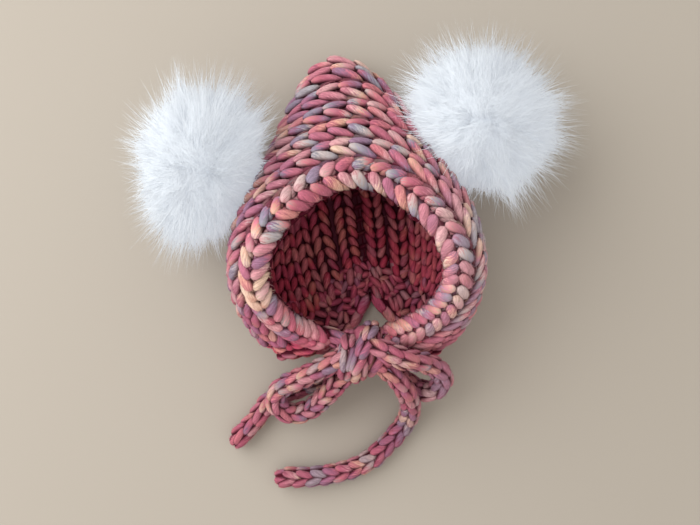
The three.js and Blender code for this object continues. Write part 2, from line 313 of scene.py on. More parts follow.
def legs_on_fabric(strands, rows, v_centre, half_share, face, point, radius, lift, crest, splay, shade=0.0):
    """Two legs for each row of one column of stitches that lies on the hood's fabric.
    Face is 1 outside and -1 inside, point the way that the V points along u, lift the height over the fabric's
    middle, crest how much higher the column's middle is, splay how far the legs reach to its sides, and shade the
    painted shade that darkens them."""
    _, _, _, per_u, per_v = fabric_frame(rows, np.full_like(rows, v_centre))
    pitch = (np.gradient(rows) * per_u)[:, None]
    wide = (half_share * per_v)[:, None]
    for side in (-1, 1):
        u0 = rows[:, None] + uneven(rows, 0.05) * pitch / per_u[:, None]
        length = (0.9 * pitch + 5.2) * (1 + uneven(rows, 0.05))
        a = -point * (LEG[None] * length - 0.25 * pitch)
        start = 0.45 * radius
        end = np.minimum(splay * wide, 0.55 * length)
        b = side * (start + (end - start) * LEG[None] ** 0.85) + uneven(rows, 0.3)
        u = u0 + a / per_u[:, None]
        v = v_centre + b / per_v[:, None]
        on_cloth = np.clip(v, 0.002, 0.992)
        _, back, out, _, _ = fabric_frame(u, on_cloth)
        base = fabric(u, on_cloth) + back * ((v - on_cloth) * per_v[:, None])[..., None]
        bulge = crest * (1 - np.clip(np.abs(b) / wide, 0, 1.2) ** 2)
        height = lift + bulge + radius * (0.5 - LEG[None] ** SINK)
        spine = base + out * (face * height)[..., None]
        size = radius * (1 + uneven(rows, 0.06)) * LEG_RADIUS[None]
        # The yarn runs along one row to the seam, and comes back along the next.
        number = np.arange(len(rows))
        forth = np.where(number % 2 == 0, v_centre, 1 - v_centre)
        dye = number * 265 + forth * 230 + (side + 1) * 8 + face * 3100
        strands.add(spine, out * face, size, dye, shade=shade)


ROW_COUNT = 40
ROW_EASE = 0.33


def eased(places):
    """Rows lie wider apart over the top of the face than down at the neck."""
    return places * (1 + ROW_EASE - ROW_EASE * np.abs(places) ** 0.7)


ALL_ROWS = eased(np.linspace(-1, 1, ROW_COUNT + 1))
OUTSIDE_ROWS = ALL_ROWS[np.abs(ALL_ROWS) < 0.95]
INSIDE_ROWS = ALL_ROWS[np.abs(ALL_ROWS) < 1 - NECK_SHARE]


def rib_edge(share):
    """How far back a share of the ribs reaches. The ribs draw together towards the seam."""
    return BAND_SHARE + (1 - BAND_SHARE) * share * (1 + RIB_GATHER * (1 - share**3))


outside = Strands()
for rib in range(RIB_COUNT):
    centre = rib_edge((rib + 0.5) / RIB_COUNT)
    half = (rib_edge((rib + 1) / RIB_COUNT) - rib_edge(rib / RIB_COUNT)) / 2
    legs_on_fabric(
        outside, OUTSIDE_ROWS, centre, half, face=1, point=-1,
        radius=3.15, lift=WALL / 2 - 1.7, crest=1.8, splay=0.72,
    )
# Between two ribs the yarn shows deep down, as the other side's stitches, darkened with painted shade.
VALLEY_ROWS = (OUTSIDE_ROWS[1:] + OUTSIDE_ROWS[:-1]) / 2
valleys = Strands(6)
for rib in range(RIB_COUNT):
    # The first one clears the braid.
    edge = rib_edge(rib / RIB_COUNT) + (0.01 if rib == 0 else 0)
    half = (rib_edge((rib + 0.5) / RIB_COUNT) - rib_edge(rib / RIB_COUNT)) / 2
    legs_on_fabric(
        valleys, VALLEY_ROWS, edge, half, face=1, point=1,
        radius=2.9, lift=WALL / 2 - 3.3, crest=0, splay=0.6, shade=0.85,
    )

# Inside, the columns lie side by side from both sides of the seam to the face edge.
INSIDE_COLUMNS = 13
INSIDE_PITCH = 11.6
SEAM_TO_COLUMN = 6.6
DEPTH_AT_SIDE = 150  # from the face edge to the seam
inside = Strands()
# At the cheeks, the columns next to the face edge take a copy of the yarn painted with less shade, and the rest a
# copy painted dark red as the shade inside the hood.
cheeks = Strands()
COLUMNS_TO_CHEEKS = 8
CHEEK = 0.42  # where the cheeks begin along u, on both sides
ONE_RUN = [(INSIDE_ROWS, inside, 0.3)]
THREE_RUNS = [
    (INSIDE_ROWS[INSIDE_ROWS < -CHEEK], cheeks, 0.5),
    (INSIDE_ROWS[np.abs(INSIDE_ROWS) <= CHEEK], inside, 0.3),
    (INSIDE_ROWS[INSIDE_ROWS > CHEEK], cheeks, 0.5),
]
for column in range(INSIDE_COLUMNS):
    centre = 1 - (SEAM_TO_COLUMN + INSIDE_PITCH * column) / DEPTH_AT_SIDE
    half = 0.5 * INSIDE_PITCH / DEPTH_AT_SIDE
    for rows, strands, shade in ONE_RUN if column < COLUMNS_TO_CHEEKS else THREE_RUNS:
        legs_on_fabric(
            strands, rows, centre, half, face=-1, point=1,
            radius=2.8, lift=WALL / 2 - 1.9, crest=1.3, splay=0.85, shade=shade,
        )


# The braid round the face

BRAID_CENTRE = 0.55 * BAND_SHARE
BRAID_TILT = 0.35  # how far its middle is turned up to the front
BRAID_ROLL = 12.5  # the radius that it rolls over the fabric's edge with
BRAID_STITCHES = 44
BRAID_TURN = 2.8  # how far the right half lies turned further in over the opening
PAST_END = 3  # how far it may reach past the fabric's ends


def band_legs(strands, rows, lift, thick, shade=0.0):
    """Two legs for each row of the braid. Thick scales their radius, and shade is the painted shade that darkens
    them.
    """
    _, _, _, per_u, _ = fabric_frame(rows, np.full_like(rows, BRAID_CENTRE))
    pitch = (np.gradient(rows) * per_u)[:, None]
    radius = thick * (2.7 + 0.08 * pitch)
    for side in (-1, 1):
        length = (8.0 + 0.4 * pitch) * (1 + uneven(rows, 0.05))
        turned = np.clip((rows[:, None] - 0.05) / 0.5, 0, 1)
        aside = 0.74 - 0.12 * turned if side < 0 else 0.62 + 0.2 * turned
        a = LEG[None] * length * 0.92 - 0.42 * pitch
        b = side * (0.8 + aside * length * LEG[None] ** 0.95) + uneven(rows, 0.25)
        b = b - BRAID_TURN * turned
        u = rows[:, None] + uneven(rows, 0.04) * pitch / per_u[:, None] + a / per_u[:, None]
        past = PAST_END / per_u[:, None]
        on_band = np.clip(u, -1, 1)
        over = (np.clip(u, -1 - past, 1 + past) - on_band) * per_u[:, None]
        along, _, out, _, _ = fabric_frame(on_band, np.full_like(u, BRAID_CENTRE))
        middle = fabric(on_band, np.full_like(u, BRAID_CENTRE)) + along * over[..., None]
        out = unit(out + np.array([0, 0, BRAID_TILT]))
        back = unit(np.cross(out, along))
        turn = b / BRAID_ROLL
        height = BAND_THICKNESS / 2 - 3.2 + lift + radius * (0.6 - 1.1 * LEG[None] ** SINK)
        spine = middle + back * (BRAID_ROLL * np.sin(turn))[..., None]
        spine = spine + out * (height + BRAID_ROLL * (np.cos(turn) - 1))[..., None]
        up = back * np.sin(turn)[..., None] + out * np.cos(turn)[..., None]
        size = radius * (1 + uneven(rows, 0.06)) * LEG_RADIUS[None]
        dye = np.arange(len(rows)) * 55 + (side + 1) * 18.0
        strands.add(spine, up, size, dye, shade=shade)


band = Strands()
BAND_ROWS = eased(np.linspace(-1, 1, BRAID_STITCHES + 1)[:-1] + 0.01)
band_legs(band, BAND_ROWS, lift=0, thick=1)
# The layer under the braid is darkened with painted shade.
band_legs(band, (BAND_ROWS[1:] + BAND_ROWS[:-1]) / 2, lift=-2.3, thick=0.9, shade=0.4)


def rolled_edge(strands, u, v, radius, shade):
    """A plain round strand along the fabric, which fills what the stitches wrap, darkened with painted shade."""
    line, out = fabric(u, v), fabric_frame(u, v)[2]
    size = np.full((1, len(line)), radius)
    strands.add(line[None], out[None], size, np.zeros(1), flat=1.0, tuck=0, shade=shade)


edge_u = np.linspace(-0.985, 0.985, 120)
rolled_edge(band, edge_u, np.full_like(edge_u, 0.34 * BAND_SHARE), radius=4.3, shade=1.0)


# The fabric's own body under the stitches, coloured dark as painted shade where it shows between them

BODY_HALF = 2.2  # half its thickness


def hood_body():
    """A plain closed piece of the fabric, thinner than the stitches on it."""
    us = np.linspace(-1, 1, 97)
    vs = np.linspace(BAND_SHARE * 0.5, 0.998, 29)
    u, v = np.meshgrid(us, vs, indexing="ij")
    _, _, way, _, _ = fabric_frame(u, np.clip(v, 0.002, 0.97))
    middle = fabric(u, v)
    outer = middle + way * BODY_HALF
    inner = middle - way * BODY_HALF
    outer[..., 2] = np.maximum(outer[..., 2], TABLE_GAP)
    rows, cols = u.shape
    index = np.arange(rows * cols).reshape(rows, cols)
    quads = np.stack([index[:-1, :-1], index[1:, :-1], index[1:, 1:], index[:-1, 1:]], -1).reshape(-1, 4)
    edge = np.concatenate([index[0, :-1], index[:-1, -1], index[-1, :0:-1], index[:0:-1, 0]])
    step = np.roll(edge, -1)
    far = rows * cols
    rim = np.stack([edge, edge + far, step + far, step], -1)
    faces = [np.concatenate([quads, quads[:, ::-1] + far, rim[:, ::-1]])]
    verts = np.concatenate([outer.reshape(-1, 3), inner.reshape(-1, 3)])
    return mesh_object("hood_fabric", verts, faces)


# A short strand, plump in the middle and round at both ends
PLUMP = np.sqrt(np.clip(1 - (2 * LEG - 1) ** 2 * 0.9, 0, 1))


def seam_stitches():
    """Short cross stitches that close the back seam, seen inside between its two columns, over a plain cord.
    Painted shade darkens the stitches, and the cord wholly.
    """
    strands = Strands()
    u = -np.linspace(0.03, 0.97, 15)
    low = fabric(u, np.ones_like(u))
    along = unit(np.gradient(low, axis=0))
    up = np.broadcast_to(np.array([0.0, 0.0, 1.0]), along.shape)
    across = np.cross(along, up)
    s = (LEG - 0.5)[None, :, None]
    spine = low[:, None] + across[:, None] * s * 9 + along[:, None] * s * 2.5
    spine = spine + up[:, None] * (1.6 - 2.5 * np.abs(s) ** 1.5)
    size = np.broadcast_to(2.3 * PLUMP, spine.shape[:2])
    strands.add(spine, np.broadcast_to(up[:, None], spine.shape), size, u * 900, shade=0.9)
    line = low[::-1] - np.array([0, 0, 0.4])
    size = np.full((1, len(line)), 3.6)
    strands.add(line[None], up[::-1][None], size, np.array([120.0]), flat=0.7, tuck=0, shade=2.0)
    return strands.build("back_seam")


# Materials


def srgb(text):
    """An sRGB hex colour as the linear colour that the shaders take."""
    values = [int(text[i : i + 2], 16) / 255 for i in (1, 3, 5)]
    return tuple(c / 12.92 if c <= 0.04045 else ((c + 0.055) / 1.055) ** 2.4 for c in values) + (1.0,)


def node(tree, kind, settings=None, inputs=None):
    """Adds a node. Settings are its own properties; an input is a value, or a socket that links to it."""
    made = tree.nodes.new(kind)
    for key, value in (settings or {}).items():
        setattr(made, key, value)
    for key, value in (inputs or {}).items():
        if isinstance(value, bpy.types.NodeSocket):
            tree.links.new(value, made.inputs[key])
        else:
            made.inputs[key].default_value = value
    return made


def material(name):
    made = bpy.data.materials.new(name)
    made.use_nodes = True
    tree = made.node_tree
    tree.nodes.clear()
    return made, tree, tree.nodes.new("ShaderNodeOutputMaterial")


def ramp(tree, factor, stops):
    made = node(tree, "ShaderNodeValToRGB", inputs={"Fac": factor})
    elements = made.color_ramp.elements
    while len(elements) > 1:
        elements.remove(elements[-1])
    elements[0].position, elements[0].color = stops[0][0], srgb(stops[0][1])
    for place, colour in stops[1:]:
        elements.new(place).color = srgb(colour)
    return made.outputs["Color"]


# The dyes that follow each other along the hand-dyed yarn: rose, blush, peach, raspberry, lilac, grey and back
DYES = [
    (0.0, "#ad6475"),
    (0.07, "#bd7a86"),
    (0.15, "#c98f95"),
    (0.22, "#cfa6a5"),
    (0.27, "#d6b8a4"),
    (0.32, "#d29e8b"),
    (0.38, "#c88382"),
    (0.44, "#ba6b7b"),
    (0.51, "#a96a80"),
    (0.57, "#94718a"),
    (0.63, "#8b8192"),
    (0.68, "#9f9aa0"),
    (0.73, "#bbaaa6"),
    (0.79, "#c39396"),
    (0.86, "#c87b80"),
    (0.93, "#b16173"),
    (1.0, "#ad6475"),
]
# Painted shade: the dark red where a strand turns away or lies deep.
PAINTED_CREVICE_SHADE = "#43081a"
PALE = "#c6b0b3"
# Painted shadow: the left pompom's shadow over the ribs.
POMPOM_SHADOW_MAUVE = "#6d475b"
FIBRE_STRETCH = 0.16  # a streak's width as a share of its length
FIBRE_SCALE = 1.15  # streaks about 0.9 mm wide, several fibres at once, because one is too fine to show
FIBRE_MIX = 26.0  # how far apart along the yarn two streaks side by side may take their dye
DRIFT_SCALE = 0.0045  # one shade holds for about 20 to 60 mm of yarn
DRIFT_TURNS = 5.0  # how often the dyes come round within the drift's range


def yarn_material(name, rose, deeper=0.3, deep_red="#b03a58", edge=-0.4, sheen=0.06, pompom_shadow=0.0):
    """Hand-dyed merino: a soft matt single ply whose colour drifts along it, with fine fibres that lie along it.
    Painted shade mixes a dark red into the colour where a strand's painted light is low, on its flanks, at its
    tucked end and where it lies deep, all of it from edge down. Rose is how much of the deeper red the yarn
    takes, and deeper how
    much more of it towards the neck: on the ties and at the neck it is dye, and inside the hood and at the cheeks
    it is painted shade. To the right the yarn gets paler, and on the left a mauve is painted in as the left
    pompom's shadow, as much as the last argument gives."""
    made, tree, output = material(name)

    def share_along(axis, start, stop, least, most):
        return node(
            tree, "ShaderNodeMapRange", {"interpolation_type": "SMOOTHSTEP"},
            {"Value": axis, "From Min": start, "From Max": stop, "To Min": least, "To Max": most},
        ).outputs["Result"]

    def blend(share, first, second):
        return node(tree, "ShaderNodeMix", {"data_type": "RGBA"}, {0: share, 6: first, 7: second}).outputs[2]

    fibre = node(tree, "ShaderNodeAttribute", {"attribute_name": "fibre"})
    parts = node(tree, "ShaderNodeSeparateXYZ", inputs={"Vector": fibre.outputs["Vector"]})
    stretch = node(
        tree, "ShaderNodeVectorMath", {"operation": "MULTIPLY"},
        {0: fibre.outputs["Vector"], 1: (1.0, 1.0, FIBRE_STRETCH)},
    )
    hairs = node(
        tree, "ShaderNodeTexNoise", {},
        {"Vector": stretch.outputs[0], "Scale": FIBRE_SCALE, "Detail": 3.0, "Roughness": 0.66},
    )
    blended = node(
        tree, "ShaderNodeMath", {"operation": "MULTIPLY_ADD"},
        {0: hairs.outputs["Fac"], 1: FIBRE_MIX, 2: parts.outputs["Z"]},
    )
    drift = node(
        tree, "ShaderNodeTexNoise", {"noise_dimensions": "1D"},
        {"W": blended.outputs[0], "Scale": DRIFT_SCALE, "Detail": 3.0, "Roughness": 0.55},
    )
    turns = node(tree, "ShaderNodeMath", {"operation": "MULTIPLY"}, {0: drift.outputs["Fac"], 1: DRIFT_TURNS})
    place = node(tree, "ShaderNodeMath", {"operation": "FRACT"}, {0: turns.outputs[0]})
    dye = ramp(tree, place.outputs[0], DYES)
    light = node(
        tree, "ShaderNodeMapRange", {},
        {"Value": hairs.outputs["Fac"], "From Min": 0.3, "From Max": 0.7, "To Min": 0.64, "To Max": 1.34},
    )
    position = node(tree, "ShaderNodeTexCoord")
    axes = node(tree, "ShaderNodeSeparateXYZ", inputs={"Vector": position.outputs["Object"]})
    paled = blend(share_along(axes.outputs["X"], 0.025, 0.06, 0.0, 0.2), dye, srgb(PALE))
    # Painted shadow: a mauve darkens the stitches on the left, where the left pompom's shadow falls.
    pompom_shadowed = blend(share_along(axes.outputs["X"], -0.02, -0.05, 0.0, pompom_shadow), paled, srgb(POMPOM_SHADOW_MAUVE))
    reddened = blend(share_along(axes.outputs["Y"], -0.012, -0.05, rose, rose + deeper), pompom_shadowed, srgb(deep_red))
    streaked = node(
        tree, "ShaderNodeVectorMath", {"operation": "SCALE"}, {0: reddened, "Scale": light.outputs["Result"]}
    )
    painted_light = node(tree, "ShaderNodeAttribute", {"attribute_name": "painted_light"})
    # Painted shade: the dark red takes over where the painted light falls below edge.
    unshaded_share = share_along(painted_light.outputs["Fac"], edge, 0.95, 0.02, 1.12)
    colour = blend(unshaded_share, srgb(PAINTED_CREVICE_SHADE), streaked.outputs[0])
    bump = node(
        tree, "ShaderNodeBump", {}, {"Strength": 0.7, "Distance": 0.0009, "Height": hairs.outputs["Fac"]}
    )
    skin = node(
        tree, "ShaderNodeBsdfPrincipled", {},
        {
            "Base Color": colour,
            "Roughness": 0.9,
            "IOR": 1.45,
            "Specular IOR Level": 0.12,
            "Sheen Weight": sheen,
            "Sheen Roughness": 0.5,
            "Normal": bump.outputs["Normal"],
        },
    )
    tree.links.new(skin.outputs[0], output.inputs["Surface"])
    return made


def matt_material(name, colour, roughness):
    made, tree, output = material(name)
    skin = node(tree, "ShaderNodeBsdfPrincipled", {}, {"Base Color": srgb(colour), "Roughness": roughness})
    tree.links.new(skin.outputs[0], output.inputs["Surface"])
    return made


def fur_material():
    """White fox-like fur: fine hairs that pass on much of the light. A hair is lit as part of the round pompom,
    whichever of its two faces is seen. A painted glow, an emission, stands in for the light that wanders from
    hair to hair and comes out again."""
    made, tree, output = material("white_fur")
    faces = node(tree, "ShaderNodeNewGeometry")
    either = node(
        tree, "ShaderNodeMath", {"operation": "MULTIPLY_ADD"}, {0: faces.outputs["Backfacing"], 1: -2.0, 2: 1.0}
    )
    outward = node(
        tree, "ShaderNodeVectorMath", {"operation": "SCALE"},
        {0: faces.outputs["Normal"], "Scale": either.outputs[0]},
    ).outputs[0]
    white = node(tree, "ShaderNodeBsdfDiffuse", {}, {"Color": srgb("#d3d7da"), "Normal": outward})
    through = node(tree, "ShaderNodeBsdfTranslucent", {}, {"Color": srgb("#e2e5e8"), "Normal": outward})
    mixed = node(tree, "ShaderNodeMixShader", {}, {"Fac": 0.42, 1: white.outputs[0], 2: through.outputs[0]})
    # Painted light: an even glow, in place of light scattered from hair to hair.
    painted_glow = node(tree, "ShaderNodeEmission", {}, {"Color": srgb("#f0f5fe"), "Strength": 0.31})
    whole = node(tree, "ShaderNodeAddShader", {}, {0: mixed.outputs[0], 1: painted_glow.outputs[0]})
    tree.links.new(whole.outputs[0], output.inputs["Surface"])
    return made


yarn = yarn_material("merino_yarn", rose=0.0)
# Painted shade: inside the hood the yarn is a copy painted dark red, and at the cheeks, near the face edge, a
# copy painted with less of it.
shaded_lining_yarn = yarn_material("merino_yarn_inside_painted_shade", rose=0.6, deeper=0.1, deep_red="#c41c40", edge=-0.1, sheen=0.0)
half_shaded_cheek_yarn = yarn_material("merino_yarn_cheeks_painted_half_shade", rose=0.42, deeper=0.1, deep_red="#7a3350", edge=-0.2, sheen=0.0)
# The ribs carry the left pompom's shadow, painted in as mauve.
rib_yarn = yarn_material("merino_yarn_ribs", rose=0.0, pompom_shadow=0.34)
neck_yarn = yarn_material("merino_yarn_neck", rose=0.45, deeper=0.1, deep_red="#bd2450", edge=0.0, sheen=0.0)
tie_yarn = yarn_material("merino_yarn_ties", rose=0.0, deeper=0.34, deep_red="#7e2c47", edge=-0.05)
# Painted shade: the fabric's body shows only in the gaps between stitches, so it is coloured dark.
shaded_core_yarn = matt_material("merino_yarn_painted_shade", "#521428", 0.95)
fur = fur_material()


def finish_piece(obj, mat, part_node):
    """Gives a piece its material, hangs it on the root, and hides the part's node that it stands for."""
    obj.data.materials.append(mat)
    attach(obj, "root")
    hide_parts(part_node)
    return obj


finish_piece(hood_body(), shaded_core_yarn, "hood")
finish_piece(seam_stitches(), shaded_lining_yarn, "hood")
finish_piece(outside.build("hood_ribs_outside", 9000), rib_yarn, "hood")
finish_piece(valleys.build("hood_valleys_outside"), rib_yarn, "hood")
finish_piece(inside.build("hood_ribs_inside", 3000), shaded_lining_yarn, "hood")
finish_piece(cheeks.build("hood_cheeks_inside", 600), half_shaded_cheek_yarn, "hood")
finish_piece(band.build("face_braid", 5000), yarn, "face_band")


# The neck edge: moss stitch, short bumps of yarn that lean this way and that, and a plain chain along the rim


def even_places(u, spacing, first=0.02, last=0.985):
    """Places from the face edge to the seam, one spacing in millimetres apart, on the line at u."""
    v = np.linspace(first, last, 200)
    line = fabric(np.full_like(v, u), v)
    along = np.concatenate([[0], np.cumsum(np.linalg.norm(np.diff(line, axis=0), axis=1))])
    count = max(int(along[-1] / spacing), 2)
    return np.interp((np.arange(count) + 0.5) * along[-1] / count, along, v)


BUMP_SPACING = 6.6
BUMP_LENGTH = 10.0
BUMP_RADIUS = 2.55
RIM_AT = 0.994  # the share of u that the rim's chain lies at
RIM_SPACING = 10.5
RIM_LENGTH = 13.5
RIM_RADIUS = 3.3


def neck_bumps(strands, end, face, depth, row):
    """One row of bumps, at a depth from the neck edge that is a share of u."""
    s = (LEG - 0.5)[None, :, None]
    vs = even_places(end * (1 - depth), BUMP_SPACING) + 0.02 * (row % 2)
    u = end * (1 - depth) + rng.normal(0, 0.006, len(vs))
    along, back, out, _, _ = fabric_frame(u, np.minimum(vs, 0.99))
    turn = np.where((np.arange(len(vs)) + row) % 2 == 0, 0.75, -0.8) + rng.normal(0, 0.35, len(vs))
    way = back * np.cos(turn)[:, None] + along * np.sin(turn)[:, None]
    height = WALL / 2 - 1.4 + rng.normal(0, 0.8, (len(vs), 1))
    place = fabric(u, np.minimum(vs, 0.99)) + out * face * height
    length = BUMP_LENGTH + rng.normal(0, 1.0, (len(vs), 1, 1))
    spine = place[:, None] + way[:, None] * s * length - out[:, None] * face * (s * 2) ** 2 * 2.4
    up = np.broadcast_to((out * face)[:, None], spine.shape)
    size = BUMP_RADIUS * PLUMP * (1 + rng.normal(0, 0.09, (len(vs), 1)))
    dye = 9000 + end * 700 + row * 240 + vs * 900 + face * 30
    # Inside the hood the bumps are darkened with painted shade.
    strands.add(spine, up, size, dye, tuck=0.2, shade=0.3 if face < 0 else 0.0)


def neck_rim(strands, end):
    """The edge itself: a chain of long legs that wraps round the fabric's thickness."""
    core_v = np.linspace(0.01, 0.97, 60)
    # A plain core under the chain, darkened with painted shade.
    rolled_edge(strands, np.full_like(core_v, end * 0.99), core_v, radius=4.2, shade=0.5)
    for side in (-1.6, -0.55, 0.55, 1.6):
        vs = even_places(end * RIM_AT, RIM_SPACING, 0.0, 0.97)
        _, _, _, _, per_v = fabric_frame(np.full_like(vs, end * RIM_AT), vs)
        v = vs[:, None] + (LEG[None] - 0.3 + 0.2 * (side > 0)) * RIM_LENGTH / per_v[:, None]
        v = np.clip(v, 0, 0.992)
        u = np.full_like(v, end * RIM_AT)
        along, _, out, _, _ = fabric_frame(u, v)
        turn = side * 0.62 + np.sign(side) * (0.35 * LEG[None] - 0.15) + rng.normal(0, 0.06, (len(vs), 1))
        ray = out * np.sin(turn)[..., None] + along * (end * np.cos(turn))[..., None]
        height = WALL / 2 - 1.8 * LEG[None] ** SINK + rng.normal(0, 0.2, (len(vs), 1))
        spine = fabric(u, v) - along * (end * 0.6) + ray * height[..., None]
        size = RIM_RADIUS * (1 + rng.normal(0, 0.07, (len(vs), 1))) * LEG_RADIUS[None]
        strands.add(spine, ray, size, 11000 + end * 900 + vs * 700 + side * 9)


neck = Strands()
for end in (-1, 1):
    for row, depth in enumerate((0.03, 0.06)):
        neck_bumps(neck, end, 1, depth, row)
    for row, depth in enumerate((0.025, 0.05, 0.075, 0.1, 0.125, 0.15, 0.175)):
        neck_bumps(neck, end, -1, depth, row)
    neck_rim(neck, end)
finish_piece(neck.build("neck_edge", 3000), neck_yarn, "neck_band")


# Ties

CORD_CORE = 4.6  # the plain filling's radius
CORD_COLUMNS = 3
CORD_PITCH = 8.9
CORD_LEG = 1.42 * CORD_PITCH
TIE_FUZZ = 2.3  # the longest loose fibre


def mix_at(x, a, b, start, stop):
    return (stop - x) / (stop - start) * a + (x - start) / (stop - start) * b


def smooth_line(points, step=1.0):
    """The points' centripetal curve in even steps, as the part's own ties follow it."""
    p = np.array(points, float)
    p = np.vstack([2 * p[0] - p[1], p, 2 * p[-1] - p[-2]])
    out = []
    for i in range(1, len(p) - 2):
        t = [0.0]
        for a, b in zip(p[i - 1 : i + 2], p[i : i + 3]):
            t.append(t[-1] + max(np.linalg.norm(b - a), 1e-4) ** 0.5)
        for x in np.linspace(t[1], t[2], 24, endpoint=False):
            a1, a2, a3 = (mix_at(x, p[i - 1 + k], p[i + k], t[k], t[k + 1]) for k in range(3))
            b1, b2 = mix_at(x, a1, a2, t[0], t[2]), mix_at(x, a2, a3, t[1], t[3])
            out.append(mix_at(x, b1, b2, t[1], t[2]))
    out = np.array(out + [p[-2]])
    along = np.concatenate([[0], np.cumsum(np.linalg.norm(np.diff(out, axis=0), axis=1))])
    even = np.linspace(0, along[-1], max(int(along[-1] / step), 4) + 1)
    return np.stack([np.interp(even, along, out[:, k]) for k in range(3)], 1), even


def carried_frames(line, first_up):
    """An up direction for each point of a line, carried along it without twisting."""
    tangent = unit(np.gradient(line, axis=0))
    up = [unit(first_up - tangent[0] * np.dot(first_up, tangent[0]))]
    for t in tangent[1:]:
        up.append(unit(up[-1] - t * np.dot(up[-1], t)))
    return tangent, np.array(up)


def cord_legs(strands, line, even, dye, first_up, centre=4.4, radius=2.7, closed=False):
    """Knitted cord: columns of stitches round a line, whose points look to the line's end. Centre is how far the
    legs' middles lie from the line. A closed cord ends in four short legs that draw its end together."""
    tangent, up = carried_frames(line, first_up)
    total = even[-1]

    def at(table, x):
        return np.stack([np.interp(x, even, table[:, k]) for k in range(3)], -1)

    def leg(a, turn, height, size, at_dye):
        clipped = np.clip(a, 0, total)
        t, n = at(tangent, clipped), unit(at(up, clipped))
        ray = n * np.cos(turn)[..., None] + np.cross(t, n) * np.sin(turn)[..., None]
        spine = at(line, clipped) + t * (a - clipped)[..., None] + ray * height[..., None]
        strands.add(spine, ray, size, at_dye)

    for column in range(CORD_COLUMNS):
        middle = 2 * math.pi * column / CORD_COLUMNS
        number = np.arange(int(total / CORD_PITCH) + 1)
        points = total - 1.0 - CORD_PITCH * (number + column / CORD_COLUMNS)
        points = points[points > 0.5 * CORD_LEG]
        for side in (-1, 1):
            a = points[:, None] - LEG[None] * CORD_LEG + rng.normal(0, 0.3, (len(points), 1))
            spread = side * (0.22 + 0.62 * LEG[None] ** 0.9) + rng.normal(0, 0.05, (len(a), 1))
            height = centre + radius * (0.25 - 0.65 * LEG[None] ** 1.4)
            size = radius * (1 + rng.normal(0, 0.05, (len(a), 1))) * LEG_RADIUS[None]
            leg(a, middle + spread, height, size, dye + a[:, 0] * 13 + column * 60 + (side + 1) * 9)
    if closed:
        four = np.ones((4, 1))
        turn = math.pi / 4 + np.arange(4)[:, None] * math.pi / 2 + 0 * LEG[None]
        a = (total + 0.5 - 9.5 * LEG[None] ** 1.6) * four
        height = (1.6 + 2.5 * LEG[None] ** 0.5) * four
        leg(a, turn, height, 0.9 * radius * LEG_RADIUS[None] * four, dye + total * 13 + np.arange(4) * 25.0)


def tube(strands, line, radius, dye=0.0):
    """A plain round filling under the stitches."""
    _, up = carried_frames(line, np.array([0.13, 0.2, 1.0]))
    size = np.full(len(line), radius)
    size[0] = size[-1] = radius * 0.7
    strands.add(line[None], up[None], size[None], np.array([dye]), flat=1.0, tuck=0)


def knotted_cord(name, first_up, dye):
    line, even = smooth_line(TIE_LINES[name])
    strands = Strands()
    cord_legs(strands, line, even, dye, np.array(first_up, float), closed=name.startswith("tail"))
    tube(strands, np.vstack([line[:-1:4], line[-1:]]), CORD_CORE, dye)
    made = strands.build(name + "_cord", int(14 * even[-1]), TIE_FUZZ)
    obj = finish_piece(made, tie_yarn, name)
    return obj, line, even[-1]


for name, first_up, dye in [
    ("loop_left", (0, 0, 1), 20100.0),
    ("loop_right", (0, 0, 1), 21300.0),
    ("tail_left", (0.3, 0, 1), 22500.0),
    ("tail_right", (0.2, 0, 1), 23700.0),
]:
    knotted_cord(name, first_up, dye)


def knot():
    """The knot: a filled middle and the tie's two wraps over it."""
    strands = Strands()
    centre = np.array(KNOT_CENTRE, float)
    wraps = [
        [(9, -41, 40), (9, -43, 51), (7, -48, 57), (4, -55, 58), (1, -63, 55), (0, -68, 45), (2, -68, 36)],
        [(-3, -47, 40), (-5, -49, 49), (-5, -55, 54), (-6, -62, 52), (-6, -68, 42), (-3, -69, 35)],
        [(17, -46, 38), (17, -48, 48), (15, -54, 53), (12, -61, 51), (10, -66, 40)],
    ]
    for i, points in enumerate(wraps):
        line, even = smooth_line(points)
        cord_legs(strands, line, even, 30000.0 + 700 * i, np.array([0.0, 1.0, 0.4]))
        tube(strands, line[1:-1:3], CORD_CORE)
    # From each end of the face band the tie runs into the knot, drawn thinner there.
    from_band = [
        [(-20, -44, 43), (-12, -47, 46), (-4, -50, 47), (3, -52, 48)],
        [(25, -42, 43), (17, -45, 46), (8, -50, 48)],
    ]
    for i, points in enumerate(from_band):
        line, even = smooth_line(points)
        up = np.array([0.0, 0.3, 1.0])
        cord_legs(strands, line, even, 33100.0 + 900 * i, up, centre=3.6, radius=2.5)
        tube(strands, line[::3], 3.8)
    core, _ = smooth_line([centre + (0, 13, -3), centre, centre + (0, -12, -6)])
    tube(strands, core[::3], 8.5)
    return strands.build("bow_knot_wraps", 900, TIE_FUZZ)


finish_piece(knot(), tie_yarn, "bow_knot")


# Fur

HEART = 0.46  # the share of the reach where the hair starts
FUR_LIMIT = 1.27  # the longest hair, as a share of the reach
RIBBONS = 40000  # in each piece of one pompom's fur
FUR_PIECES = 2
TUFTS = 300
LOBES = 14
WISPS = 0.06  # the share of long thin guard hairs
RIBBON_HALF = 0.25  # half its width at the root
RIBBON_STEPS = 3
HOOD_MIDDLE = (0.0, 5.0, 45.0)


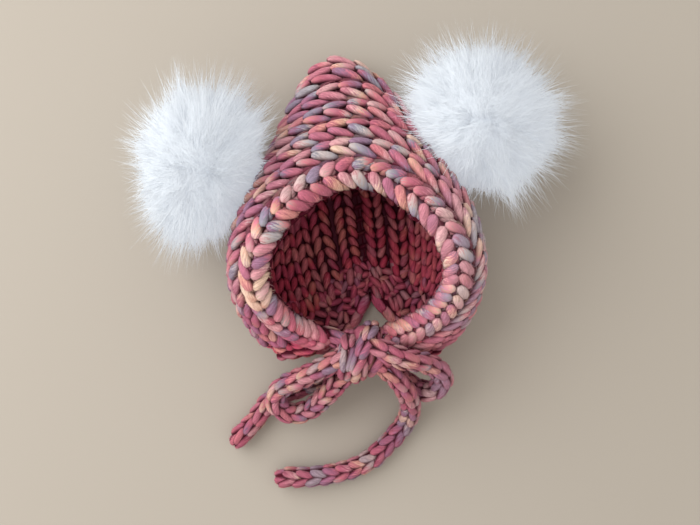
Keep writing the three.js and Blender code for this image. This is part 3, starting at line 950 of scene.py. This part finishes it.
def pompom(name, seed):
    """A fur pompom: fine ribbons that fan out from a round heart and gather in soft tufts, with long guard hairs.
    The hair is combed away from the top by its own weight, so from above it streams out from one place."""
    fur_rng = np.random.default_rng(seed)
    centre, reach = (np.array(x, float) for x in POMPOMS[name])
    crown, longer = (np.array(x, float) for x in POMPOM_LEANS[name])
    count, steps = RIBBONS, RIBBON_STEPS
    tufts = unit(fur_rng.normal(size=(TUFTS, 3)) + (0, 0, 0.2))
    lean = fur_rng.normal(0, 0.08, (TUFTS, 3))
    tuft_length = fur_rng.uniform(0.9, 1.1, TUFTS)
    lobes = unit(fur_rng.normal(size=(LOBES, 3)))
    lobe_length = fur_rng.choice([-0.1, 0.09], LOBES)
    s = np.linspace(0, 1, steps)[None, :, None]
    toward_hood = unit(np.array(HOOD_MIDDLE) - centre)
    for piece in range(FUR_PIECES):
        way = unit(fur_rng.normal(size=(count, 3)) + (0, 0, 0.35))
        nearest = np.argmax(way @ tufts.T, axis=1)
        gather = fur_rng.uniform(0.0, 0.7, count)[:, None]
        tip_way = way * (1 - gather) + tufts[nearest] * gather + lean[nearest]
        tip_way = tip_way + fur_rng.normal(0, 0.04, (count, 3))
        tip_way = unit(tip_way * np.where(tip_way[:, 2:] > 0, (1, 1, 0.68), (1, 1, 0.9)))
        length = 0.68 + fur_rng.exponential(0.08, count)
        wisp = fur_rng.random(count) < WISPS
        length[wisp] = fur_rng.uniform(0.85, 1.25, wisp.sum())
        length *= 1 + (np.exp((tip_way @ lobes.T - 1) / 0.1) * lobe_length).sum(1)
        length *= 1 + tip_way[:, :2] @ longer
        length = np.minimum(length * tuft_length[nearest], FUR_LIMIT)
        # Hair that would lie over the hood is short there.
        length *= 1 - np.where(wisp, 0.4, 0.2) * np.clip((tip_way @ toward_hood - 0.4) / 0.35, 0, 1)
        root = way * reach * HEART
        tip = tip_way * reach * length[:, None]
        bend = fur_rng.normal(0, 1.0, (count, 1, 3)) * 1.6 * np.sin(math.pi * s)
        spine = root[:, None] * (1 - s) + tip[:, None] * s + bend
        spine = spine + way[:, None] * reach * 0.1 * np.sin(math.pi * s)
        spine[..., :2] += crown * spine[..., 2:] / reach[2]
        spine = spine + centre
        spine[..., 2] = np.maximum(spine[..., 2], 0.8)
        tangent = unit(np.gradient(spine, axis=1))
        side = unit(np.cross(tangent, unit(fur_rng.normal(size=(count, 1, 3)))))
        width = RIBBON_HALF * (1 - s) ** 0.7 * np.where(wisp, 0.5, 1.0)[:, None, None]
        left, right = (spine - side * width)[:, :-1], (spine + side * width)[:, :-1]
        verts = np.concatenate([np.stack([left, right], 2).reshape(count, -1, 3), spine[:, -1:]], 1)
        corners = 2 * steps - 1
        base = (np.arange(count) * corners)[:, None, None]
        strip = np.array([[2 * k, 2 * k + 1, 2 * k + 3, 2 * k + 2] for k in range(steps - 2)])[None]
        point = np.array([[corners - 3, corners - 2, corners - 1]])[None]
        flat_verts = verts.reshape(-1, 3)
        quads, tips = (base + strip).reshape(-1, 4), (base + point).reshape(-1, 3)
        obj = mesh_object(f"{name}_fur_{piece}", flat_verts, [quads, tips])
        # Hairs scatter light as one soft mass, so they are shaded as the round pompom that they make up.
        tilt = np.repeat(fur_rng.normal(0, 0.06, (count, 3)), corners, 0)
        round_way = unit(unit((flat_verts - centre) / reach**2) + tilt)
        obj.data.normals_split_custom_set_from_vertices(round_way.tolist())
        finish_piece(obj, fur, name)


def heart(name):
    """The close fur in the middle, which the roots of the hair are set in."""
    centre, reach = (np.array(x, float) for x in POMPOMS[name])
    bpy.ops.mesh.primitive_uv_sphere_add(segments=32, ring_count=20, radius=1, location=(0, 0, 0))
    obj = bpy.context.object
    obj.name = name + "_heart"
    co = np.empty(len(obj.data.vertices) * 3, np.float32)
    obj.data.vertices.foreach_get("co", co)
    co = (co.reshape(-1, 3) * reach * (HEART + 0.04) + centre) * MM
    obj.data.vertices.foreach_set("co", co.astype(np.float32).ravel())
    obj.data.update()
    for polygon in obj.data.polygons:
        polygon.use_smooth = True
    finish_piece(obj, fur, name)


for i, name in enumerate(POMPOMS):
    pompom(name, 41 + i)
    heart(name)


# Stage, light and camera: matt beige paper in daylight from a window at the upper left, seen from straight above

bpy.ops.mesh.primitive_plane_add(size=6, location=(0, 0, -0.0003))
floor = bpy.context.object
floor.name = "floor"
floor.data.materials.append(matt_material("beige_paper", "#a59c91", 0.9))


def area_light(name, place, size, power, colour):
    light = bpy.data.lights.new(name, "AREA")
    light.shape, light.size, light.energy, light.color = "DISK", size, power, colour
    obj = bpy.data.objects.new(name, light)
    bpy.context.scene.collection.objects.link(obj)
    obj.location = place
    obj.rotation_euler = (Vector((0, 0, 0)) - Vector(place)).to_track_quat("-Z", "Y").to_euler()


area_light("window", (-0.85, 0.48, 0.8), 1.6, 18.5, (0.96, 0.985, 1.0))
area_light("wall_fill", (-0.9, -0.7, 0.5), 1.2, 3.0, (1.0, 0.98, 0.96))
world = bpy.data.worlds.new("room")
bpy.context.scene.world = world
world.use_nodes = True
world.node_tree.nodes["Background"].inputs["Color"].default_value = (1.0, 0.98, 0.94, 1.0)
world.node_tree.nodes["Background"].inputs["Strength"].default_value = 0.9

PICTURE_WIDTH = 700  # pixels
FOCAL_PIXELS = 900
camera = bpy.data.cameras.new("camera")
camera.sensor_width = 36
camera.lens = 36 * FOCAL_PIXELS / PICTURE_WIDTH
camera.clip_start = 0.01
eye = bpy.data.objects.new("camera", camera)
bpy.context.scene.collection.objects.link(eye)
eye.location = (-0.004, 0, 0.6)  # looks straight down
bpy.context.scene.camera = eye

bpy.context.scene.view_settings.view_transform = "Standard"
